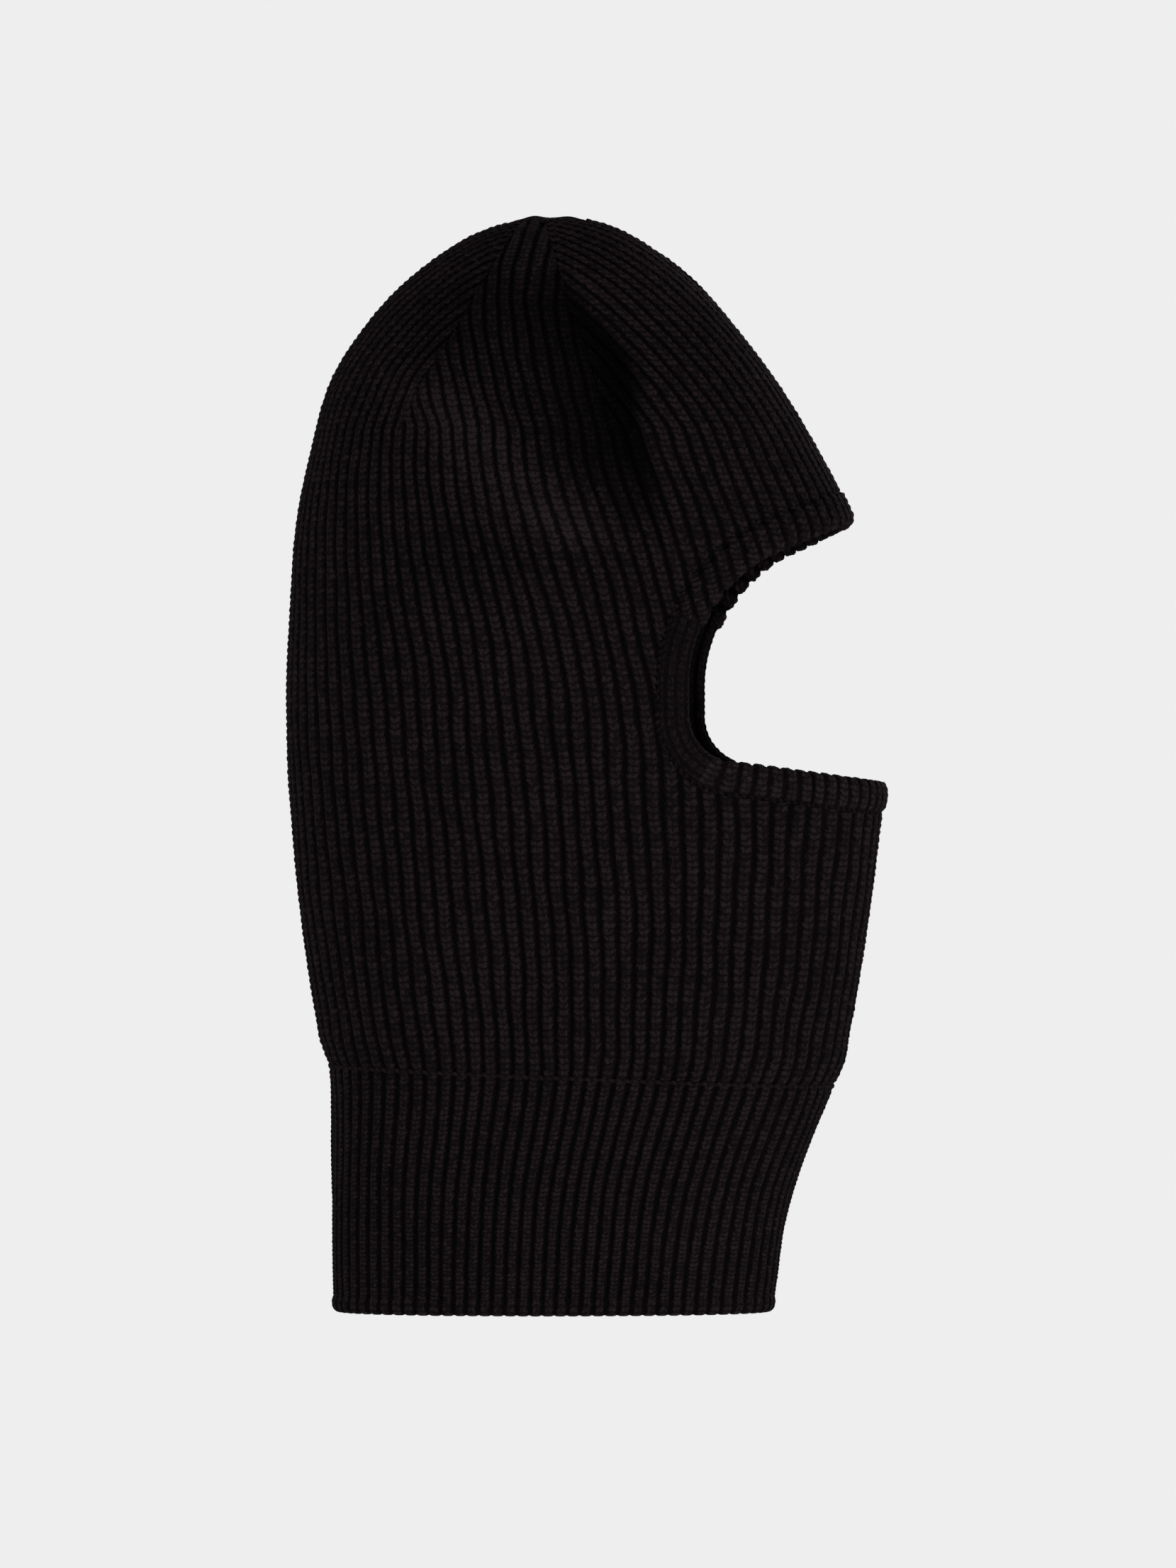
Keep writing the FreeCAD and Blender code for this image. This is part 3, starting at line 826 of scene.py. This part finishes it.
def cord_along(points, normals, radius, beads, twist, flat=0.75, bead=0.28):
    """A row of linked loops: a thin roll with one swelling to a loop."""
    run = run_along(points)
    ways = unit(np.gradient(points, axis=0))
    binormal = unit(np.cross(ways, normals))
    angle = np.linspace(0.0, TURN, CORD_SIDES, endpoint=False)
    phase = run[:, None] / run[-1] * beads + twist * angle[None, :] / TURN
    swelling = 0.5 - 0.5 * np.cos(TURN * phase)
    row = np.floor(phase).astype(int) % LOOP_ROWS
    size = radius * (1.0 - bead + bead * 1.6 * swelling * LINK_LOOPS[row, 0])
    ca, sa = np.cos(angle)[None, :, None], np.sin(angle)[None, :, None]
    grid = points[:, None, :] + size[..., None] * (binormal[:, None, :] * ca + normals[:, None, :] * sa * flat)
    # painted highlight on each loop's swelling and on the cord's outward side; painted shade between loops and
    # on its inward side
    outer = np.clip(0.4 + 0.6 * np.sin(angle)[None, :], 0.0, 1.0)
    tone = 0.18 + 0.75 * swelling * LINK_LOOPS[row, 1] * outer
    return grid, tone


def resample(points, normals, spacing):
    run = run_along(points)
    t = np.linspace(0.0, run[-1], max(8, int(run[-1] / spacing)))
    p = np.stack([np.interp(t, run, points[:, k]) for k in range(3)], axis=-1)
    n = unit(np.stack([np.interp(t, run, normals[:, k]) for k in range(3)], axis=-1))
    return p, n, run[-1]


for side, word in ((-1, "right"), (1, "left")):
    for which in ("back", "front"):
        q = np.linspace(BASE_Q, TOP_Q, 160)
        turn = turn_of_y(q, dart_y(level(q)[0], which))
        p, n = surface(q, turn, side)
        p, n, length = resample(p - n * 1.7, n, 0.5)
        grid, tone = cord_along(p, n, 1.05, length / 2.4, twist=1.0)
        name = "%s_%s_dart" % (which, word)
        s = Stack()
        s.add(grid, tone * 0.7, closed_cols=True, flip=True)
        s.piece(name + "_row", "linking_yarn", [name + "_seam"], LINK_YARN)

# gathered loops at the top: ribs drawn in to the middle, with two uneven swellings
TOP_Z = LEVELS[-1, 0]
SWELLINGS = ((0.9, 20.5, 4.2), (0.7, 7.5, 4.6))               # height, y and reach
s = Stack()
rows, cols = 40, 264
r = np.linspace(0.0, 1.0, rows)[:, None]
turn = np.linspace(0.0, TURN, cols, endpoint=False)[None, :]
close_z, close_back, close_front, close_width = level(TOP_Q)
x = (close_width + 1.0) * r * np.cos(turn)
y = (close_back + close_front) / 2.0 + ((close_back - close_front) / 2.0 + 1.0) * r * np.sin(turn)
pleats = 22.0 * turn / TURN + 0.0 * r
humps = sum(high * np.exp(-(((y - middle) / reach) ** 2) - (x / 4.5) ** 2)
            for high, middle, reach in SWELLINGS)
draw = smooth((r - 0.10) / 0.45)
z = TOP_Z - (TOP_Z - close_z) * r ** 2 + humps
z = z - 0.7 * np.exp(-((r / 0.12) ** 2)) - 0.9 * smooth((r - 0.86) / 0.14)
z = z + 0.1 + draw * ridge(pleats, 0.35, 0.8)
# painted shade in the dimple at the centre, where the ribs are drawn in
tone = 0.85 - 0.35 * np.exp(-((r / 0.15) ** 2)) + 0.0 * turn
s.add(np.stack((x, y, z), axis=-1), tone, pleats, 6.0 * r + drift(pleats), closed_cols=True)
s.piece("crown_gather", "linking_yarn", ["crown_closure"], RIB_KNIT)

# ---------------------------------------------------------------- neck join: a row of linked loops

def join_ring(side):
    """The join on one side, a quarter of a millimetre inside the form."""
    t = np.linspace(math.pi / 2.0, -math.pi / 2.0, 520)
    q = np.full(len(t), float(q_of(92.0)))
    for _ in range(6):
        q = q_of(join_height(base_point(q, t)[:, 1]))
    p, n = surface(q, t, side)
    return p - n * 0.25, n


right_p, right_n = join_ring(-1)
left_p, left_n = join_ring(1)
ring_p = np.vstack((right_p, left_p[::-1][1:]))
ring_n = np.vstack((right_n, left_n[::-1][1:]))
ring_p, ring_n, _ = resample(ring_p, ring_n, 0.42)
LOOPS_A_RIB = 2.0
grid, tone = cord_along(ring_p, ring_n, 0.95, 2.0 * RIBS * LOOPS_A_RIB, twist=0.6, flat=0.8, bead=0.34)
s = Stack()
s.add(grid, 0.25 + 0.9 * tone, closed_cols=True, flip=True)
s.piece("neck_join_row", "linking_yarn", ["neck_join_seam"], LINK_YARN)

# ---------------------------------------------------------------- face trim, its linked row and the brow hem

def line_height(y, which):
    if which == "chin":
        return OPEN_FOOT - math.tan(CHIN_SLOPE) * (OPEN_BACK - y)
    return OPEN_TOP + math.tan(BROW_SLOPE) * (OPEN_BACK - y)


CHIN_SWITCH, BROW_SWITCH = -88.0, -80.0       # y where the front part of trim and hem meets the side part


def band_frame(which, a, switch_y, spacing, end_z):
    """q and turn at distances a from the free edge, one row to each step along it, on one side.

    Rows run from the centre front to the back end. Returns q, turn (rows by a) and the run along the edge."""
    # front part: rows at one turn each
    q0 = float(q_of(line_height(-95.0, which)))
    t_switch = float(turn_of_y(q_of(line_height(switch_y, which)), switch_y))
    radius_run = float(arc_of_turn(q0, -math.pi / 2.0) - arc_of_turn(q0, t_switch))
    count = max(6, int(radius_run / spacing))
    t = -math.pi / 2.0 + (t_switch + math.pi / 2.0) * np.linspace(0.0, 1.0, count)
    q = np.full(count, q0)
    for _ in range(12):
        q = q_of(line_height(base_point(q, t)[:, 1], which))
    z_edge = level(q)[0]
    if which == "chin":
        q_front = q_of(z_edge[:, None] - a[None, :] / math.cos(CHIN_SLOPE))
    else:
        q_front = q[:, None] + a[None, :]
    turn_front = t[:, None] + 0.0 * q_front
    # side part: rows at places along the free edge, up to the height end_z behind the chin's straight stretch
    on_chin = np.arange(len(OPEN_P)) < STRAIGHT
    stop = float(OPEN_RUN[int(np.argmin(np.abs(OPEN_P[:, 1] - end_z) + 1000.0 * on_chin))])
    part = STRAIGHT - 10
    if which == "chin":
        start = float(np.interp(switch_y, OPEN_P[:part, 0], OPEN_RUN[:part]))
        runs = np.arange(start, stop, spacing)
    else:
        start = float(np.interp(-switch_y, -OPEN_P[-part:, 0], OPEN_RUN[-part:]))
        runs = np.arange(start, stop, -spacing)
    ey, ez = np.interp(runs, OPEN_RUN, OPEN_P[:, 0]), np.interp(runs, OPEN_RUN, OPEN_P[:, 1])
    ny, nz = np.interp(runs, OPEN_RUN, OPEN_N[:, 0]), np.interp(runs, OPEN_RUN, OPEN_N[:, 1])
    if which == "chin":
        fade = smooth((ey + 88.0) / 24.0)
        ny = ny * fade
    size = np.hypot(ny, nz)
    ny, nz = ny / size, nz / size
    y = ey[:, None] + ny[:, None] * a[None, :]
    z = ez[:, None] + nz[:, None] * a[None, :]
    q_side = q_of(z)
    turn_side = turn_of_y(q_side, y)
    q_all, turn_all = np.vstack((q_front, q_side)), np.vstack((turn_front, turn_side))
    centre = base_point(q_all[:, 0], turn_all[:, 0])
    return q_all, turn_all, run_along(centre)


def swept(which, side, section_a, switch_y, end_z, spacing):
    """Places and normals on the form for a section, given as distances from the free edge, swept along it."""
    a = np.linspace(min(section_a.min(), -0.5), section_a.max(), 26)
    q, turn, run = band_frame(which, a, switch_y, spacing, end_z)
    p, n = surface(q, turn, side)
    k = (section_a - a[0]) / (a[-1] - a[0]) * (len(a) - 1)
    i = np.clip(k.astype(int), 0, len(a) - 2)
    f = (k - i)[None, :, None]
    place = p[:, i] * (1 - f) + p[:, i + 1] * f
    normal = unit(n[:, i] * (1 - f) + n[:, i + 1] * f)
    return place, normal, run


# tubular face trim: ribs run across it at the chin, columns of stitches run along it at the sides
angle = np.linspace(0.0, TURN, 56, endpoint=False)
tube_a = 6.2 + 5.8 * np.sign(np.cos(angle)) * np.abs(np.cos(angle)) ** 0.75
tube_o = -1.45 + 3.0 * np.sign(np.sin(angle)) * np.abs(np.sin(angle)) ** 0.85
TRIM_RIB = 6.0
trim = {True: Stack(), False: Stack()}
for side in (-1, 1):
    p, n, run = swept("chin", side, tube_a, CHIN_SWITCH, 268.0, 0.62)
    walk = np.concatenate(((0.0,), np.cumsum(np.hypot(np.diff(tube_a), np.diff(tube_o)))))
    turned = int(np.argmax(p[:, 0, 1] > -45.5))
    # the top end slips under the brow hem
    end = smooth((run[-1] - run) / 7.0)[:, None, None]
    out_n = np.sin(angle)[None, :, None]
    across = unit(p[:, 0] - p[:, len(angle) // 2])[:, None, :]
    for chin in (True, False):
        if chin:
            ribs, course = (run / TRIM_RIB)[:, None], (walk / 2.3)[None, :]
            fade = 0.35 + 0.65 * smooth((run[turned] - run) / 14.0)[:, None]
        else:
            ribs, course = (walk / 3.9)[None, :], (run / 2.5)[:, None]
            fade = 0.35
        ribs = numbered(ribs + 0.0 * course, side)
        course = course + 0.0 * ribs
        lift = ridge(ribs, 0.4, 0.8) * fade + 0.30 * stitch(ribs, course)
        grid = p + n * tube_o[None, :, None] + n * out_n * (lift - 0.1)[..., None] - n * 2.4 * (1.0 - end)
        grid = grid - across * (np.clip(-np.cos(angle), 0.0, 1.0)[None, :] * (lift - 0.1))[..., None]
        rows = slice(0, turned + 1) if chin else slice(turned, len(run))
        # the side part is a quarter darker than the chin part; painted shade where the top end slips under the
        # brow hem
        dimmed = (1.0 - 0.25 * smooth((run - run[turned] + 8.0) / 16.0))[:, None]
        tone = (0.55 + 0.45 * end[..., 0]) * dimmed + 0.0 * ribs
        trim[chin].add(grid[rows], tone[rows], ribs[rows], course[rows], closed_cols=True, flip=side > 0)
trim[True].piece("face_band_chin_knit", "trim_knit", ["face_band"], TRIM_KNIT)
trim[False].piece("face_band_side_knit", "trim_knit", ["face_band"], SIDE_KNIT)

# linked row between the body and the face trim
s = Stack()
line = {}
for side in (-1, 1):
    a = np.array((0.0, 12.3))
    q, turn, _ = band_frame("chin", a, CHIN_SWITCH, 0.6, 266.0)
    p, n = surface(q[:, 1], turn[:, 1], side)
    line[side] = (p - n * 0.55, n)
ring_p = np.vstack((line[-1][0][::-1], line[1][0][1:]))
ring_n = np.vstack((line[-1][1][::-1], line[1][1][1:]))
ring_p, ring_n, length = resample(ring_p, ring_n, 0.45)
grid, tone = cord_along(ring_p, ring_n, 1.15, length / 3.0, twist=0.7, flat=0.8, bead=0.36)
s.add(grid, tone * 0.75, closed_cols=True, flip=True)
s.piece("face_band_row", "linking_yarn", ["face_opening_seam"], LINK_YARN)

# turned brow hem: the knit runs down to the fold and back up inside
OUTSIDE, TURNED_IN = 22, 14         # points across the outside of the hem and across its turned-in layer
outer_a = np.linspace(13.2, 1.6, OUTSIDE)
fold = np.linspace(0.0, math.pi, 12)[1:-1]
hem_a = np.concatenate((outer_a, 1.6 - 2.4 * np.sin(fold), np.linspace(1.6, 12.0, TURNED_IN)))
hem_o = np.concatenate((
    (0.6 - 0.6 * smooth((outer_a - 10.2) / 1.4) - 0.3 * np.exp(-(((outer_a - 11.7) / 0.8) ** 2))
     - 0.8 * (outer_a > 12.7)),
    -1.75 + 1.9 * np.cos(fold),
    np.full(TURNED_IN, -3.65),
))
s = Stack()
for side in (-1, 1):
    p, n, _ = swept("brow", side, hem_a, BROW_SWITCH, 262.0, 0.5)
    y, z = p[..., 1], p[..., 2]
    q = q_of(z)
    _, back, front, width = level(q)
    rise, wide = (y - (back + front) / 2.0) / (back - front) * 2.0, np.abs(p[..., 0]) / width
    turn = np.arctan2(rise, wide)
    for _ in range(3):
        turn = np.arctan2(rise, wide / (1.0 + EGG * np.sin(turn)))
    share = arc_of_turn(q, turn) / half_length(q)
    rib = rib_of_share(share, z)
    rib[:, OUTSIDE:] = rib[:, OUTSIDE - 1:OUTSIDE]          # ribs keep their place round the fold
    walk = np.concatenate(((0.0,), np.cumsum(np.hypot(np.diff(hem_a), np.diff(hem_o)))))
    course = (q[:, :1] / COURSE) - (walk / COURSE)[None, :]
    ribs = numbered(rib, side)
    course = course + drift(ribs)
    lift = knit(ribs, course)
    facing = np.concatenate((np.ones(OUTSIDE), np.cos(fold), -np.ones(TURNED_IN)))
    down = np.concatenate((np.zeros(OUTSIDE), np.sin(fold), np.zeros(TURNED_IN)))
    grid = p + n * (hem_o + facing * lift)[..., None]
    # ribs also scallop the fold itself
    across = unit(p[:, 0] - p[:, OUTSIDE - 1])[:, None, :]
    grid = grid - across * (down * (lift - 0.2))[..., None]
    # loops of the tuck line sink between the ribs: painted shade along the tuck line, deepest between the ribs
    point = np.arange(len(hem_a))
    tuck_shade = np.exp(-(((hem_a - 11.4) / 1.0) ** 2)) * (point < OUTSIDE)
    between = smooth((np.abs(ribs % 1.0 - 0.5) - 0.12) / 0.25)
    tone = 1.0 - tuck_shade[None, :] * (0.25 + 0.6 * between)
    # painted highlight along the fold, and painted light on the turned-in layer that shows through the opening
    tone = tone + 0.35 * np.exp(-(((point - 24.0) / 2.2) ** 2))[None, :]
    tone = tone + 0.9 * (point > 30)
    s.add(grid, tone, ribs, course, flip=side > 0)
s.piece("brow_hem_knit", "rib_knit", ["brow_hem"], RIB_KNIT)

# ---------------------------------------------------------------- seam allowances inside the centre back

def inside_strip(z_low, z_high, name, node_name, slot, material):
    q = np.arange(float(q_of(z_low)), float(q_of(z_high)), 0.7)
    width = np.linspace(-2.4, 2.4, 13)
    s = Stack()
    p, n = surface(q, np.full(len(q), math.pi / 2.0), 1)
    bead = 0.5 - 0.5 * np.cos(TURN * q / 2.6)
    hump = np.cos(width / 2.4 * math.pi / 2.0)
    depth = FABRIC + 0.2 + hump[None, :] * (0.75 + 0.25 * bead[:, None])
    grid = p[:, None, :] - n[:, None, :] * depth[..., None]
    grid = grid + np.array((1.0, 0.0, 0.0)) * width[None, :, None]
    # painted highlight on each bead's crest and along the strip's middle, painted shade at its edges
    s.add(grid, 0.2 + 0.5 * bead[:, None] * hump[None, :], flip=True)
    return s.piece(name, slot, [node_name], material)


inside_strip(96.5, 337.0, "centre_back_row", "centre_back_seam", "linking_yarn", LINK_YARN)
inside_strip(8.0, 92.0, "neck_band_back_row", "neck_band_back_seam", "linking_yarn", LINK_YARN)

# ---------------------------------------------------------------- studio

GREY = 0.855
FLOOR_RADIUS, DOME_RADIUS = 4, 16   # metres


def plain_glow(name, strength):
    m = bpy.data.materials.new(name)
    m.use_nodes = True
    nodes, links = m.node_tree.nodes, m.node_tree.links
    nodes.clear()
    out = nodes.new("ShaderNodeOutputMaterial")
    glow = nodes.new("ShaderNodeEmission")
    glow.inputs["Color"].default_value = (GREY, GREY, GREY, 1.0)
    glow.inputs["Strength"].default_value = strength
    links.new(glow.outputs[0], out.inputs[0])
    return m


def stage_mesh(name, points, faces, material):
    mesh = bpy.data.meshes.new(name)
    mesh.from_pydata(points, [], faces)
    mesh.materials.append(material)
    o = bpy.data.objects.new(name, mesh)
    bpy.context.scene.collection.objects.link(o)
    return o


floor_points = [(FLOOR_RADIUS * math.cos(a), FLOOR_RADIUS * math.sin(a), -0.0004)
                for a in np.linspace(0, TURN, 64, endpoint=False)]
floor = stage_mesh("floor", floor_points, [tuple(range(64))], plain_glow("floor_glow", 1.0))
rows, cols = 24, 48
dome_points = [(DOME_RADIUS * math.cos(a) * math.sin(b), DOME_RADIUS * math.sin(a) * math.sin(b),
                DOME_RADIUS * math.cos(b))
               for b in np.linspace(0.0001, math.pi - 0.0001, rows)
               for a in np.linspace(0, TURN, cols, endpoint=False)]
dome_faces = [tuple(int(v) for v in f) for f in grid_faces(rows, cols, closed_cols=True)]
backdrop = stage_mesh("backdrop", dome_points, dome_faces, plain_glow("backdrop_glow", 1.0))
for o in (floor, backdrop):
    o.visible_diffuse = False
    o.visible_glossy = False
    o.visible_shadow = False

world = bpy.data.worlds.new("studio")
world.use_nodes = True
world.node_tree.nodes["Background"].inputs["Color"].default_value = (1.0, 1.0, 1.0, 1.0)
world.node_tree.nodes["Background"].inputs["Strength"].default_value = 0.14
bpy.context.scene.world = world


def soft_light(name, place, size, power):
    data = bpy.data.lights.new(name, "AREA")
    data.shape = "DISK"
    data.size = size
    data.energy = power
    o = bpy.data.objects.new(name, data)
    o.location = place
    o.rotation_euler = (Vector((0.0, 0.0, 0.21)) - Vector(place)).to_track_quat("-Z", "Y").to_euler()
    bpy.context.scene.collection.objects.link(o)
    return o


soft_light("front", (-0.95, -1.5, -0.35), 0.6, 4.0)
soft_light("near", (-1.9, 0.28, -0.45), 0.5, 2.8)
soft_light("back", (-1.1, 1.6, 0.2), 0.8, 1.3)
soft_light("far", (1.5, -0.6, 1.0), 1.0, 3.0)
